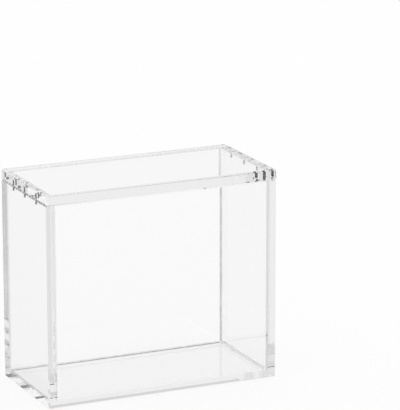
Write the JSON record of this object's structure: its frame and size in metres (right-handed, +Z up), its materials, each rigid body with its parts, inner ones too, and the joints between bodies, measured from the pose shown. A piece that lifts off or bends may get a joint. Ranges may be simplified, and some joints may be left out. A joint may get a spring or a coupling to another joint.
{
  "type": "acrylic display case",
  "caption": "Clear acrylic display case: flat polished panels bonded into an open box, with a lift-off lid that seats on small embedded rod magnets.",
  "frame": {"origin": "middle of the underside, on the surface that the case stands on", "axes": "+X to the right along the width, +Y to the back, +Z up; the front faces -Y"},
  "size_m": [0.208, 0.1, 0.1821],
  "materials": {
    "clear_acrylic": "clear cast acrylic, polished faces and edges",
    "magnet_plating": "dark nickel plating on a rod magnet"
  },
  "bodies": {
    "case": {"base_panel": "clear_acrylic", "front_panel": "clear_acrylic", "back_panel": "clear_acrylic", "left_panel": "clear_acrylic", "right_panel": "clear_acrylic", "left_wall_magnet_front": "magnet_plating", "left_wall_magnet_middle": "magnet_plating", "left_wall_magnet_rear": "magnet_plating", "right_wall_magnet_front": "magnet_plating", "right_wall_magnet_middle": "magnet_plating", "right_wall_magnet_rear": "magnet_plating"},
    "lid": {"lid_panel": "clear_acrylic", "left_lid_magnet_front": "magnet_plating", "left_lid_magnet_middle": "magnet_plating", "left_lid_magnet_rear": "magnet_plating", "right_lid_magnet_front": "magnet_plating", "right_lid_magnet_middle": "magnet_plating", "right_lid_magnet_rear": "magnet_plating"}
  },
  "joints": [
    {"name": "lid_lift", "type": "slide", "parent": "case", "child": "lid", "axis": [0, 0, 1], "range_m": [0, 0.2]}
  ]
}
